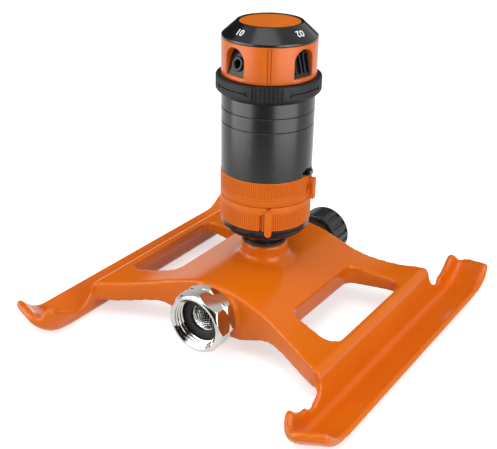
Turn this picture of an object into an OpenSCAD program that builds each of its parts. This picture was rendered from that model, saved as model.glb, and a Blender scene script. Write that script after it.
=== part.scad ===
// Gear-driven part-circle lawn sprinkler on a cast sled base.
// Frame: Z up through the column, +Y from the hose inlet to the capped outlet, Z = 0 on the ground.

/* [Sled casting] */
// Height of the crown of the deck above the ground
deck_crown_z = 40; // [38:0.5:48]
// Height of the deck along its outer edges
deck_edge_z = 23.4; // [20:0.2:28]
// Half-width of the deck, out to the bend into a runner
deck_half_w = 77.6; // [65:0.2:93]
// Half-length of the deck at its waist
deck_waist_y = 49.5; // [42:0.5:59]
// Half-length of the deck where it meets the runners
deck_corner_y = 66; // [60:1:79]
// Wall of the casting
cast_wall = 2.8; // [2.3:0.1:3.4]
// Width of a runner, outside the deck
runner_w = 25.4; // [21:0.2:30]
// Flat stretch of a runner beyond the deck's corner
runner_tail = 14; // [12:0.5:17]
// Radius on which a runner turns up at its tips
tip_radius = 32; // [28:1:40]
// Angle through which a tip turns up
tip_angle = 58; // [48:1:64]
// Inner edge of a deck window, from the middle of the sled
window_in_x = 39.6; // [33:0.2:47]
// Width of deck left outside a window
window_margin = 6.2; // [5:0.2:9]
// Deck left in front of and behind a window, along its inner edge
window_in_rim = 18.7; // [15:0.1:23]
// Deck left in front of and behind a window, along its outer edge
window_out_rim = 24.5; // [20:0.1:30]
// Height of the riser boss above the crown of the deck
boss_h = 9.2; // [7.6:0.2:12]

/* [Hose fittings] */
// Height of the water way through the sled
water_z = 23.9; // [22:0.1:28]
// Radius of the water way
water_r = 8; // [6.6:0.1:9.6]
// Bore radius of the female hose thread
hose_thread_r = 13.6; // [11.4:0.05:16.4]
// Wall of the swivel nut, from its thread to its corners
nut_wall = 4.4; // [3.6:0.1:5.4]
// Length of the swivel nut
nut_len = 16.4; // [15:0.1:20]
// Radius over the crests of the male outlet thread
outlet_thread_r = 13.4; // [12:0.05:16.2]
// Length of the threaded outlet past its boss
outlet_len = 19.9; // [17:0.1:24]
// Wall of the outlet cap around its thread
cap_side_wall = 2.8; // [2.3:0.1:3.4]
// Length of the outlet cap
cap_len = 17.5; // [14:0.5:21]
// Number of grip flutes on the cap
cap_flutes = 26; // [16:1:32]

/* [Column] */
// Outside radius of the gear housing
housing_r = 25.5; // [21:0.1:31]
// Height of the gear housing up to its shoulder
housing_h = 43.5; // [37:0.1:54]
// How far the arc rings stand out past the housing
ring_stand = 0.3; // [0.1:0.1:1]
// Height of one arc ring
ring_h = 14.1; // [11.7:0.1:18]
// How far the distance collar stands out past the housing
collar_stand = 3.1; // [2:0.1:5]
// Height of the distance collar
collar_h = 10.2; // [8.5:0.1:14]
// How far the nozzle turret stands out past the housing
turret_stand = 0.2; // [0:0.1:2]
// Height of the nozzle turret
turret_h = 19.6; // [17:0.1:26]
// Width of a nozzle window
nozzle_w = 13.3; // [11:0.1:16]
// Height of the conical dial on top
dial_h = 8.4; // [7:0.1:12]
// Radius of the disc let into the dial
insert_r = 16.4; // [13.6:0.1:19.7]

/* [Gear train] */
// Teeth of each wheel
wheel_teeth = 30; // [28:1:36]
// Teeth of each pinion
pinion_teeth = 12; // [12:1:14]
// Radius of the fixed central shaft
shaft_r = 1.5; // [1:0.1:1.8]
// Radius of the planet pins
pin_r = 1; // [0.8:0.1:1.2]
// Tip radius of the water turbine
turbine_r = 15.2; // [12.6:0.1:18.2]

/* [Fits] */
// Radial clearance of a running fit
run_fit = 0.05; // [0.02:0.01:0.08]
// Gap between faces that pass each other
face_gap = 0.3; // [0.2:0.05:0.4]
// Radial clearance of a part seated in its socket
seat_fit = 0.03; // [0.01:0.01:0.08]

/* [Hidden] */
$fn = 96;
// A hair that two solids of one piece share, and the run of a cut past a face
eps = 0.01;
past = 1;

// Colours
enamel = "#DD6F22";
ring_orange = "#E8783A";
black = "#3B3B3D";
dark = "#26282B";
collar_black = "#3C3E40";
steel = "#C9CCCF";
screen_grey = "#8C8F90";
brass = "#B5893C";
rubber = "#1C1C1E";
acetal = "#E6E2D6";
turbine_white = "#D8D4C6";

// Section of a runner, in X and Z, from the deck's bend to the outer lip
sled_half_w = deck_half_w + runner_w;
runner_flat_y = deck_corner_y + runner_tail;
wall_lean = 14;
bend_r = cast_wall + 0.6;
keel_r = 3;
floor_rise = 18;
lip_bead_r = 1.9;
keel_flat_w = 5;
rim_z = 9.2;
tip_rim_z = 12;
notch_r = 10;
notch_gap = 0.5;
tip_inner_r = 0.58 * runner_w;
tip_outer_r = 0.4 * runner_w;
tip_trim = 0.2;
crest_in_x = deck_half_w - bend_r - 1;
bend_c = [deck_half_w - bend_r, deck_edge_z - bend_r];
keel_c = [bend_c[0] + (bend_r + keel_r + (bend_c[1] - cast_wall - keel_r) * sin(wall_lean))
          / cos(wall_lean), cast_wall + keel_r];
keel_out = keel_c + keel_r * [sin(floor_rise), -cos(floor_rise)];
lip_end = [sled_half_w - lip_bead_r,
           keel_out[1] + (sled_half_w - lip_bead_r - keel_out[0]) * tan(floor_rise)];

// Deck
deck_bell = 40;
deck_step = 4;
waist_end_x = 30;
hem_low_z = 9.5;
hem_end_z = 12.5;
hem_rise = 6.5;
hem_peak_x = 38;
hem_half_span = 26;
window_corner_r = 6;
window_flange_w = 2.4;
window_flange_h = 7;

// Water way and riser boss
spine_r = water_r + 7.2;
spigot_r = water_r + 2;
spigot_depth = 13;
boss_r = spigot_r + 3.5;
boss_root_r = boss_r + 2.6;
boss_root_h = 3;
boss_sink = 1;
boss_top_z = deck_crown_z + boss_h;
boss_front_y = -deck_waist_y - 1.9;
boss_rear_y = deck_waist_y + 1.9;

// Inlet, from the nut's front face back to the casting
nut_gap = 0.6;
nut_back_y = boss_front_y - nut_gap;
nut_front_y = nut_back_y - nut_len;
nut_corner_r = hose_thread_r + nut_wall;
nut_sides = 8;
nut_turn = 7;
nut_web = 3.4;
nut_ridge_y = nut_front_y + nut_len * 0.62;
nut_relief = 0.4;
tail_r = water_r + 1.7;
tail_wall = 2.5;
tail_flange_r = hose_thread_r - 1;
tail_flange_h = 2.5;
tail_face_y = nut_back_y - nut_web - face_gap - tail_flange_h;
tail_seat_depth = 14;
washer_h = 2.7;
washer_y = tail_face_y - washer_h;
thread_end_y = washer_y - 0.5;
washer_hole_r = tail_r - 0.1;
screen_r = washer_hole_r - 0.2;
screen_wall = 0.7;
dome_r = screen_r - 0.6;
dome_h = washer_h - 0.1;

// Outlet
cap_wall = 3;
spigot_seat_r = water_r + 2.6;
outlet_end_y = boss_rear_y + outlet_len;
cap_washer_h = 2;
cap_rear_y = outlet_end_y + cap_washer_h + 0.2 + cap_wall;
cap_front_y = cap_rear_y - cap_len;
cap_r = outlet_thread_r + cap_side_wall;
flute_r = 1;
flute_depth = 0.75;
flute_start = 2.2;

// Column radii
ring_r = housing_r + ring_stand;
collar_r = housing_r + collar_stand;
turret_r = housing_r + turret_stand;
barrel_r = housing_r - 4.1;
barrel_wall = 2.4;
barrel_in_r = barrel_r - barrel_wall;
housing_bore_r = housing_r - 3.1;
housing_top_r = housing_r - 4.5;
top_neck_r = housing_r - 3.5;
top_neck_wall = 2.8;
neck_in_r = top_neck_r - top_neck_wall;
trip_pocket_r = housing_r - 1.8;
trip_tip_r = housing_r + 1.9;
neck_r = boss_r - 0.4;
thread_depth = 0.6;
thread_pitch = 2.4;

// Column levels
neck_seal_h = 1.4;
seal_top_z = boss_top_z + neck_seal_h;
bowl_z = boss_top_z + 7.8;
flange_z = bowl_z + 7.2;
lower_ring_z = flange_z + 1;
upper_ring_z = lower_ring_z + ring_h + 0.2;
housing_z = upper_ring_z + ring_h + face_gap;
trip_h = 3;
trip_pocket_h = trip_h + face_gap;
bearing_h = 3.6;
barrel_top_z = housing_z + trip_pocket_h + bearing_h + face_gap;
keeper_h = 1.6;
shoulder_z = housing_z + housing_h;
shoulder_wall = 3;
collar_z = shoulder_z + 0.1;
turret_z = collar_z + collar_h + 0.2;
dial_z = turret_z + turret_h;
plate_h = 2.8;
neck_top_z = turret_z - face_gap - plate_h;
groove_z = [housing_z + housing_h * 0.64, housing_z + housing_h * 0.82];
groove_depth = 0.3;

// Trip lever
trip_az = 8;
trip_w = 4.2;
trip_swing = 8;

// Gear train: three equal stages around the fixed shaft, stacked up to the housing's shoulder
gear_gap = 0.5;
turbine_z = barrel_top_z + keeper_h + 0.6;
turbine_h = 5.4;
turbine_vanes = 14;
turbine_hub_r = 3.4;
gear_hub_r = 2.6;
gear_plate_h = 2.6;
first_level = turbine_z + turbine_h + 1.4;
gear_w = (shoulder_z - shoulder_wall - gear_plate_h - 7.7 - first_level) / 4 - gear_gap;
level = [for (i = [0:3]) first_level + i * (gear_w + gear_gap)];
gear_plate_z = level[3] + gear_w + 1.6;
wheel_gap = 0.7;
tooth_tip = 0.9;
tooth_root = 1.25;
gear_module = (housing_top_r - wheel_gap) / (wheel_teeth + pinion_teeth / 2 + tooth_tip);
gear_x = gear_module * (wheel_teeth + pinion_teeth) / 2 + 0.03;
pin_a_az = 30;
pin_b_az = 210;
pressure_angle = 25;
tooth_play = 0.05;
flank_steps = 3;
shaft_foot_z = barrel_top_z - 7;
spider_hub_r = 4;

// Ring marks and tabs
lower_tab_az = -53.7;
upper_tab_az = 11;
bar_w = 3.9;
bar_stand = 1.8;
tab_w = 3.8;
tab_stand = 3.4;

// Turret, its seat and its nozzles
window_az = [-102, -12, 78, 168];
pocket_r = turret_r - 12.2;
window_sill = 2.4;
window_top = 2;
feed_r = 2.5;
feed_circle_r = (pocket_r + neck_in_r) / 2 - 1.3;
port_az = window_az[0];
port_seal_r = 4;
port_seal_h = 1.5;
seal_z = neck_top_z + plate_h - port_seal_h;
post_r = 5;
post_h = 11;
post_top_z = turret_z + post_h;
screw_r = 2;
screw_head_r = 4;
screw_head_h = 2.4;
screw_recess_r = 8.2;
turret_washer_h = 1.2;
nozzle_z = turret_z + turret_h * 0.46;
dial_band_h = 1.4;
dial_top_r = insert_r + 1.2;
insert_sink = 0.4;
insert_h = 3.4;
insert_hub_h = 2;
insert_z = dial_z + dial_h - insert_sink - insert_h;

// Throttle disc, worked by the collar through a key in a slot of the neck
key_az = 123;
key_half = 26;
key_r = 1.3;
key_z = neck_top_z - 2.6;
disc_r = neck_in_r - 0.2;
disc_h = 3.2;

function unit(v) = v / norm(v);
// Points of an arc, and of a full circle
function arc(c, r, from, to, n = 8) =
    [for (i = [0:n]) c + r * [cos(from + (to - from) * i / n), sin(from + (to - from) * i / n)]];
function disc(c, r, n = 16) = [for (i = [0:n - 1]) c + r * [cos(360 * i / n), sin(360 * i / n)]];
// A path, the path d below it, and the band between the two
function normal_at(p, i) =
    let (t = unit(p[min(i + 1, len(p) - 1)] - p[max(i - 1, 0)])) [-t[1], t[0]];
function below(p, d) = [for (i = [0:len(p) - 1]) p[i] - d * normal_at(p, i)];
function band(p, d) = let (q = below(p, d)) concat(p, [for (i = [len(q) - 1:-1:0]) q[i]]);
function deck_z(x) = deck_edge_z + (deck_crown_z - deck_edge_z) * exp(-pow(x / deck_bell, 2));
function deck_y(x) = let (u = (abs(x) - waist_end_x) / (crest_in_x - waist_end_x))
    deck_waist_y + (deck_corner_y - deck_waist_y) * pow(min(max(u, 0), 1), 1.5);
function hem_z(x) = let (
        d = min(abs(abs(x) - hem_peak_x) / hem_half_span, 1),
        foot_z = abs(x) < hem_peak_x ? hem_low_z : hem_end_z)
    foot_z + (hem_low_z + hem_rise - foot_z) * (1 + cos(180 * d)) / 2;
function span(a, b, step) = let (n = ceil((b - a) / step)) [for (i = [0:n]) a + (b - a) * i / n];
function runner_path() = concat([[crest_in_x, deck_edge_z + 0.2]],
    arc(bend_c, bend_r, 88, wall_lean), arc(keel_c, keel_r, 180 + wall_lean, 270 + floor_rise),
    [lip_end]);
function spoon_path() = let (
        z = tip_rim_z - lip_bead_r,
        foot = keel_c + keel_r * [-cos(wall_lean), -sin(wall_lean)])
    concat([[foot[0] - (z - foot[1]) * tan(wall_lean), z]],
        arc(keel_c, keel_r, 180 + wall_lean, 270 + floor_rise), [lip_end]);
// Corner i of a polygon, as an arc of radius r
function corner(pts, i, r) = let (
        n = len(pts), p = pts[i],
        a = unit(pts[(i + n - 1) % n] - p), b = unit(pts[(i + 1) % n] - p),
        half = acos(a * b) / 2,
        c = p + unit(a + b) * r / sin(half),
        s = p + a * r / tan(half), e = p + b * r / tan(half),
        from = atan2(s[1] - c[1], s[0] - c[0]), to = atan2(e[1] - c[1], e[0] - c[0]),
        turn = to - from > 180 ? to - from - 360 : to - from < -180 ? to - from + 360 : to - from)
    arc(c, r, from, from + turn, 6);
function rounded(pts, r) = [for (i = [0:len(pts) - 1]) each corner(pts, i, r)];

function polar(r, a) = r * [cos(a), sin(a)];

// Involute gear outline
function inv_deg(a) = tan(a) * 180 / PI - a;
function half_tooth(n, r) = let (
        rp = gear_module * n / 2, rb = rp * cos(pressure_angle),
        at_r = r > rb ? acos(rb / r) : 0)
    90 / n - tooth_play / rp * 180 / PI + inv_deg(pressure_angle) - inv_deg(at_r);
function gear_outline(n) = let (
        rp = gear_module * n / 2, root = rp - tooth_root * gear_module,
        tip = rp + tooth_tip * gear_module,
        rs = [for (i = [0:flank_steps]) root + (tip - root) * i / flank_steps])
    [for (k = [0:n - 1]) let (mid = 360 * k / n) each concat(
        [for (r = rs) polar(r, mid - half_tooth(n, r))],
        [for (i = [flank_steps:-1:0]) polar(rs[i], mid + half_tooth(n, rs[i]))])];
// Turn of a gear of n2 teeth that meshes, in direction az, with a gear of n1 teeth turned by turn1
function mate_turn(az, turn1, n1, n2) = az + 180 + 180 / n2 - (turn1 - az) * n1 / n2;

module ring(ro, ri, h) {
    difference() {
        cylinder(r = ro, h = h);
        translate([0, 0, -past]) cylinder(r = ri, h = h + 2 * past);
    }
}

// Cylinder along Y from y1 to y2 at the height of the water way
module along_y(r, y1, y2) {
    translate([0, y1, water_z]) rotate([-90, 0, 0]) cylinder(r = r, h = y2 - y1);
}

module mirrored(axis) {
    children();
    mirror(axis) children();
}

// XZ outline drawn out along Y to both sides
module drawn_y(points, half) {
    rotate([90, 0, 0]) linear_extrude(2 * half, center = true) polygon(points);
}

module deck_plan(inset, half_w) {
    xs = span(-half_w, half_w, deck_step);
    front = [for (x = xs) [x, -deck_y(x) + inset]];
    rear = [for (i = [len(xs) - 1:-1:0]) [xs[i], deck_y(xs[i]) - inset]];
    polygon(concat(front, rear));
}

// Solid under the deck's surface, lowered by drop and drawn in by inset
module under_deck(drop, inset, half_w, floor_z) {
    xs = span(-half_w, half_w, deck_step);
    intersection() {
        drawn_y(concat([[-half_w, floor_z]], [for (x = xs) [x, deck_z(x) - drop]],
                       [[half_w, floor_z]]), deck_corner_y + past);
        translate([0, 0, floor_z - past])
            linear_extrude(deck_crown_z - floor_z + 2 * past) deck_plan(inset, half_w);
    }
}

module below_hem() {
    xs = span(-deck_half_w - past, deck_half_w + past, deck_step / 2);
    drawn_y(concat([[xs[0], -past]], [for (x = xs) [x, hem_z(x)]],
                   [[xs[len(xs) - 1], -past]]), deck_corner_y + past);
}

module window_plan(grow) {
    x0 = window_in_x - grow;
    x1 = deck_half_w - window_margin + grow;
    y0 = deck_y(window_in_x) - window_in_rim + grow;
    y1 = deck_y(deck_half_w - window_margin) - window_out_rim + grow;
    polygon(rounded([[x0, -y0], [x1, -y1], [x1, y1], [x0, y0]], window_corner_r + grow));
}

module window_cut(grow, z) {
    translate([0, 0, z]) linear_extrude(deck_crown_z) window_plan(grow);
}

module deck() {
    top_half_w = deck_half_w - bend_r / 2;
    difference() {
        under_deck(0, 0, top_half_w, 0);
        under_deck(cast_wall, cast_wall, deck_half_w + past, -past);
        below_hem();
    }
    // Turned-down flanges around the windows
    mirrored([1, 0, 0]) intersection() {
        under_deck(0, 0, top_half_w, 0);
        difference() {
            window_cut(window_flange_w, deck_edge_z - window_flange_h);
            window_cut(0, 0);
        }
    }
}

module runner_half() {
    bead = disc(lip_end - [0, cast_wall / 2], lip_bead_r);
    spoon = spoon_path();
    rim = disc(spoon[0] - [cast_wall / 2, 0], lip_bead_r);
    wall_x = deck_half_w - 12;
    difference() {
        rotate([90, 0, 180]) mirror([1, 0, 0])
            linear_extrude(runner_flat_y) {
                polygon(band(runner_path(), cast_wall));
                polygon(bead);
                translate([keel_c[0] - keel_flat_w / 2, 0]) square([keel_flat_w, cast_wall]);
            }
        // The inner wall sweeps down from the deck's corner to the rim of the tip
        translate([wall_x, 0, 0]) rotate([90, 0, 90]) linear_extrude(keel_c[0] - wall_x) notch();
    }
    // The tip turns up on an arc and is rounded in plan
    intersection() {
        translate([0, runner_flat_y, tip_radius]) rotate([0, 90, 0])
            rotate_extrude(angle = tip_angle) {
                polygon([for (p = band(spoon, cast_wall)) [tip_radius - p[1], p[0]]]);
                polygon([for (p = bead) [tip_radius - p[1], p[0]]]);
                polygon([for (p = rim) [tip_radius - p[1], p[0]]]);
                translate([tip_radius - cast_wall, keel_c[0] - keel_flat_w / 2])
                    square([cast_wall, keel_flat_w]);
            }
        translate([0, 0, -past]) linear_extrude(tip_radius + past) tip_plan();
    }
}

// Cut that brings the wall down to the rim of the tip, on a hollow curve and then a short rise
module notch() {
    c = [deck_corner_y + notch_gap + notch_r, rim_z + notch_r];
    far_y = runner_flat_y + tip_radius;
    translate(c) circle(r = notch_r);
    polygon([[c[0] - notch_r, c[1]], [c[0], rim_z], [runner_flat_y, tip_rim_z],
             [far_y, tip_rim_z], [far_y, deck_crown_z], [c[0] - notch_r, deck_crown_z]]);
}

module tip_plan() {
    x0 = spoon_path()[0][0] - cast_wall / 2 - lip_bead_r;
    x1 = sled_half_w;
    y0 = runner_flat_y - past;
    y1 = runner_flat_y + tip_radius * sin(tip_angle) - tip_trim;
    box = [[x0, y0 - tip_inner_r], [x1, y0 - tip_inner_r], [x1, y1], [x0, y1]];
    polygon(concat([box[0], box[1]], corner(box, 2, tip_outer_r), corner(box, 3, tip_inner_r)));
}

module sled_base() color(enamel) difference() {
    union() {
        difference() {
            union() {
                deck();
                along_y(spine_r, boss_front_y, boss_rear_y);
            }
            mirrored([1, 0, 0]) window_cut(0, 0);
        }
        mirrored([1, 0, 0]) mirrored([0, 1, 0]) runner_half();
        boss_root_z = deck_crown_z - boss_sink;
        rotate_extrude() polygon(concat([[0, water_z], [boss_root_r, water_z],
            [boss_root_r, boss_root_z]],
            arc([boss_r + boss_root_h, boss_root_z + boss_root_h], boss_root_h, 240, 180, 5),
            [[boss_r, boss_top_z], [0, boss_top_z]]));
    }
    along_y(water_r, boss_front_y - past, boss_rear_y + past);
    along_y(tail_r + seat_fit, boss_front_y - past, boss_front_y + tail_seat_depth);
    along_y(spigot_seat_r + seat_fit, boss_rear_y - tail_seat_depth, boss_rear_y + past);
    translate([0, 0, water_z]) cylinder(r = water_r, h = boss_top_z);
    translate([0, 0, boss_top_z - spigot_depth])
        cylinder(r = spigot_r + seat_fit, h = spigot_depth + past);
}

module inlet_tailpiece() color(steel) difference() {
    union() {
        along_y(tail_r, tail_face_y, boss_front_y + tail_seat_depth);
        along_y(tail_flange_r, tail_face_y, tail_face_y + tail_flange_h);
    }
    along_y(tail_r - tail_wall, tail_face_y - past, boss_front_y + tail_seat_depth + past);
}

module nut_tier(r, y1, y2) {
    translate([0, y1, water_z]) rotate([-90, 0, 0]) rotate([0, 0, nut_turn])
        cylinder(r = r, h = y2 - y1, $fn = nut_sides);
}

// Octagonal in two tiers with a ridge between them, turned down at both ends
module swivel_nut() color(steel) difference() {
    tier_step = 0.5;
    ridge_drop = 0.6;
    ridge_half = 0.8;
    front_edge = [1.4, 2.4];
    back_edge = [1.8, 3];
    union() {
        intersection() {
            union() {
                nut_tier(nut_corner_r, nut_front_y, nut_ridge_y);
                nut_tier(nut_corner_r - tier_step, nut_ridge_y, nut_back_y);
            }
            translate([0, nut_front_y, water_z]) rotate([-90, 0, 0]) rotate_extrude()
                polygon([[0, 0], [nut_corner_r - front_edge[0], 0],
                         [nut_corner_r, front_edge[1]], [nut_corner_r, nut_len - back_edge[1]],
                         [nut_corner_r - back_edge[0], nut_len], [0, nut_len]]);
        }
        along_y(nut_corner_r - ridge_drop, nut_ridge_y - ridge_half, nut_ridge_y + ridge_half);
    }
    along_y(hose_thread_r, nut_front_y - past, thread_end_y + eps);
    // Relief that the washer and the tailpiece's flange sit in
    along_y(hose_thread_r + nut_relief, thread_end_y, nut_back_y - nut_web);
    along_y(tail_r + run_fit, nut_back_y - nut_web - past, nut_back_y + past);
}

module hose_washer() color(rubber) difference() {
    along_y(hose_thread_r - face_gap, washer_y, tail_face_y);
    along_y(washer_hole_r, washer_y - past, tail_face_y + past);
}

module filter_screen() color(screen_grey) {
    sphere_r = (dome_r * dome_r + dome_h * dome_h) / (2 * dome_h);
    translate([0, tail_face_y, water_z]) rotate([90, 0, 0]) {
        ring(screen_r, dome_r - screen_wall, screen_wall);
        intersection() {
            translate([0, 0, dome_h - sphere_r]) difference() {
                sphere(r = sphere_r);
                sphere(r = sphere_r - screen_wall);
            }
            cylinder(r = dome_r, h = dome_h + past);
        }
    }
}

module outlet_spigot() color(brass) difference() {
    union() {
        along_y(spigot_seat_r, boss_rear_y - tail_seat_depth, boss_rear_y + past);
        along_y(outlet_thread_r, boss_rear_y, outlet_end_y);
    }
    along_y(water_r, boss_rear_y - tail_seat_depth - past, outlet_end_y + past);
}

module end_cap() color(dark) difference() {
    along_y(cap_r, cap_front_y, cap_rear_y);
    along_y(outlet_thread_r + run_fit, cap_front_y - past, cap_rear_y - cap_wall);
    translate([0, cap_front_y, water_z]) for (i = [0:cap_flutes - 1])
        rotate([0, i * 360 / cap_flutes, 0])
            translate([cap_r + flute_r - flute_depth, flute_start, 0])
                rotate([-90, 0, 0]) cylinder(r = flute_r, h = cap_len);
}

module cap_washer() color(rubber)
    along_y(outlet_thread_r - face_gap, outlet_end_y, outlet_end_y + cap_washer_h);

// Threaded neck, bowl and barrel of the fixed part of the column
module stator() color(dark) {
    foot_z = boss_top_z - spigot_depth + 1;
    turns = floor((bowl_z - seal_top_z - 1) / thread_pitch);
    thread = [for (i = [0:turns - 1]) let (z = seal_top_z + 0.9 + i * thread_pitch) each
        [[neck_r, z], [neck_r - thread_depth, z + 0.4], [neck_r - thread_depth, z + 1],
         [neck_r, z + 1.4]]];
    edge_r = 6;
    edge_c = [housing_r - edge_r, flange_z - 0.5];
    edge_top = lower_ring_z - 0.1;
    spider_h = 5;
    arm_w = 2;
    arm_overlap = 0.5;
    rotate_extrude() polygon(concat(
        [[water_r - 1, foot_z], [spigot_r, foot_z], [spigot_r, seal_top_z], [neck_r, seal_top_z]],
        thread,
        arc([neck_r, flange_z], flange_z - bowl_z, 270, 300, 4),
        arc(edge_c, edge_r, 300, 360, 5),
        [[housing_r, edge_top], [barrel_r, edge_top], [barrel_r, barrel_top_z],
         [barrel_in_r, barrel_top_z], [barrel_in_r, flange_z + 4], [water_r, bowl_z + 2],
         [water_r - 1, bowl_z]]));
    // Spider that holds the foot of the shaft
    translate([0, 0, shaft_foot_z]) {
        ring(spider_hub_r, shaft_r + seat_fit, spider_h);
        for (a = [0:120:240]) rotate(a) translate([spider_hub_r - arm_overlap, -arm_w / 2, 0])
            cube([barrel_in_r - spider_hub_r + 2 * arm_overlap, arm_w, spider_h - 1]);
    }
}

module neck_seal() color(rubber)
    translate([0, 0, boss_top_z]) ring(neck_r, spigot_r + seat_fit, neck_seal_h);

module lower_arc_ring() color(ring_orange) {
    bar_top_z = lower_ring_z + ring_h - 1.2;
    bar_foot_z = lower_ring_z - 0.8;
    slot_w = 1.4;
    slot_az = lower_tab_az - 9;
    slot_top = 4.6;
    nick_w = 2.4;
    nick_h = 0.9;
    translate([0, 0, lower_ring_z]) difference() {
        ring(ring_r, barrel_r + run_fit, ring_h);
        rotate(slot_az) translate([ring_r - 1.2, -slot_w / 2, -past])
            cube([2, slot_w, ring_h - slot_top + past]);
        rotate(lower_tab_az) translate([ring_r - 0.8, -nick_w / 2, ring_h - nick_h])
            cube([2, nick_w, nick_h + past]);
    }
    // Pointer bar that runs down over the flange, with a round end
    rotate(lower_tab_az) intersection() {
        union() {
            translate([ring_r - 1, -bar_w / 2, lower_ring_z])
                cube([bar_stand + 1, bar_w, bar_top_z - lower_ring_z]);
            translate([ring_r + 0.1, 0, bar_foot_z]) {
                translate([0, -bar_w / 2, 0]) cube([bar_stand - 0.1, bar_w, 2]);
                rotate([0, 90, 0]) cylinder(d = bar_w, h = bar_stand - 0.1);
            }
        }
        translate([0, 0, bar_foot_z - bar_w]) cylinder(r = ring_r + bar_stand, h = 2 * ring_h);
    }
}

module upper_arc_ring() color(ring_orange) {
    hollow_r = 1.7;
    hollow_h = 7;
    tab_h = ring_h - 2;
    translate([0, 0, upper_ring_z]) ring(ring_r, barrel_r + run_fit, ring_h);
    // Finger tab with a hollow for the thumb
    rotate(upper_tab_az) translate([ring_r, -tab_w / 2, upper_ring_z + 0.1]) difference() {
        translate([-1, 0, 0]) cube([tab_stand + 1, tab_w, tab_h]);
        translate([tab_stand / 2 - 0.5, -0.8 * hollow_r, (tab_h - hollow_h) / 2])
            cylinder(r = hollow_r, h = hollow_h);
    }
}

module central_shaft() color(steel)
    translate([0, 0, shaft_foot_z]) cylinder(r = shaft_r, h = gear_plate_z + 2 - shaft_foot_z);

module gear(n, turn, bore) {
    difference() {
        rotate(turn) linear_extrude(gear_w) polygon(gear_outline(n));
        translate([0, 0, -past]) cylinder(r = bore, h = gear_w + 2 * past);
    }
}

// Turns that put every stage in mesh with the fixed output gear
pin_b_turn = mate_turn(pin_b_az, 0, wheel_teeth, pinion_teeth);
axis_turn = mate_turn(pin_b_az + 180, 0, wheel_teeth, pinion_teeth);
first_turn = mate_turn(pin_a_az, 0, wheel_teeth, pinion_teeth);
turbine_turn = mate_turn(pin_a_az + 180, 0, wheel_teeth, pinion_teeth);

module output_gear() color(acetal) translate([0, 0, level[3]]) gear(wheel_teeth, 0, shaft_r + seat_fit);

// Wheel and pinion in one, joined by a hub across the gap
module compound_gear(z, wheel_turn, pinion_turn, bore) {
    translate([0, 0, z]) gear(wheel_teeth, wheel_turn, bore);
    translate([0, 0, z + gear_w + gear_gap]) gear(pinion_teeth, pinion_turn, bore);
    translate([0, 0, z + gear_w - eps]) ring(gear_hub_r, bore, gear_gap + 2 * eps);
}

module last_gear() color(acetal) rotate(pin_b_az) translate([gear_x, 0, 0]) rotate(-pin_b_az)
    compound_gear(level[2], 0, pin_b_turn, pin_r + run_fit);

module axis_gear() color(acetal) compound_gear(level[1], 0, axis_turn, shaft_r + run_fit);

module first_gear() color(acetal) rotate(pin_a_az) translate([gear_x, 0, 0]) rotate(-pin_a_az)
    compound_gear(level[0], 0, first_turn, pin_r + run_fit);

module turbine() color(turbine_white) {
    vane_w = 1.2;
    vane_root = turbine_hub_r - 0.4;
    top_z = turbine_z + turbine_h;
    difference() {
        union() {
            translate([0, 0, turbine_z]) cylinder(r = turbine_hub_r, h = turbine_h);
            translate([0, 0, top_z - eps])
                cylinder(r = gear_hub_r, h = first_level - top_z + 2 * eps);
            translate([0, 0, top_z - 1]) cylinder(r = turbine_r, h = 1);
            translate([0, 0, turbine_z]) for (i = [0:turbine_vanes - 1])
                rotate(i * 360 / turbine_vanes) translate([vane_root, -vane_w / 2, 0])
                    cube([turbine_r - vane_root - 0.6, vane_w, turbine_h - 0.5]);
        }
        translate([0, 0, turbine_z - past])
            cylinder(r = shaft_r + run_fit, h = first_level - turbine_z + 2 * past);
    }
    translate([0, 0, first_level]) gear(pinion_teeth, turbine_turn, shaft_r + run_fit);
}

// Pin that hangs from the gear plate, headed under its gear
module planet_pin(az, z) {
    head_h = 0.6;
    head_r = pin_r + 0.7;
    head_z = z - 0.9;
    rotate(az) translate([gear_x, 0, head_z]) {
        cylinder(r = pin_r, h = gear_plate_z + gear_plate_h - head_z);
        cylinder(r = head_r, h = head_h);
    }
}

module gear_pins() color(steel) {
    planet_pin(pin_a_az, level[0]);
    planet_pin(pin_b_az, level[2]);
}

// Carries the planet pins, and lets the water past through a ring of holes
module gear_plate() color(acetal) difference() {
    through_h = gear_plate_h + 2 * past;
    hole_r = 2.6;
    translate([0, 0, gear_plate_z]) cylinder(r = housing_bore_r - run_fit, h = gear_plate_h);
    translate([0, 0, gear_plate_z - past]) {
        cylinder(r = shaft_r + run_fit, h = through_h);
        for (a = [pin_a_az, pin_b_az]) rotate(a) translate([gear_x, 0, 0])
            cylinder(r = pin_r + seat_fit, h = through_h);
        for (i = [0:7]) rotate(i * 45 + 7) translate([housing_bore_r - hole_r - 2.2, 0, 0])
            cylinder(r = hole_r, h = through_h);
    }
}

module retaining_ring() color(steel)
    translate([0, 0, barrel_top_z]) ring(housing_bore_r - face_gap, barrel_in_r, keeper_h);

module trip_lever() color(dark) translate([0, 0, housing_z]) {
    inset = 0.3;
    ring(trip_pocket_r - face_gap, barrel_r + 2 * run_fit, trip_h);
    rotate(trip_az) translate([trip_pocket_r - 1, -trip_w / 2, inset])
        cube([trip_tip_r - trip_pocket_r + 1, trip_w, trip_h - 2 * inset]);
}

function groove(z) = [[housing_r, z], [housing_r - groove_depth, z + groove_depth],
    [housing_r, z + 2 * groove_depth]];

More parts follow.
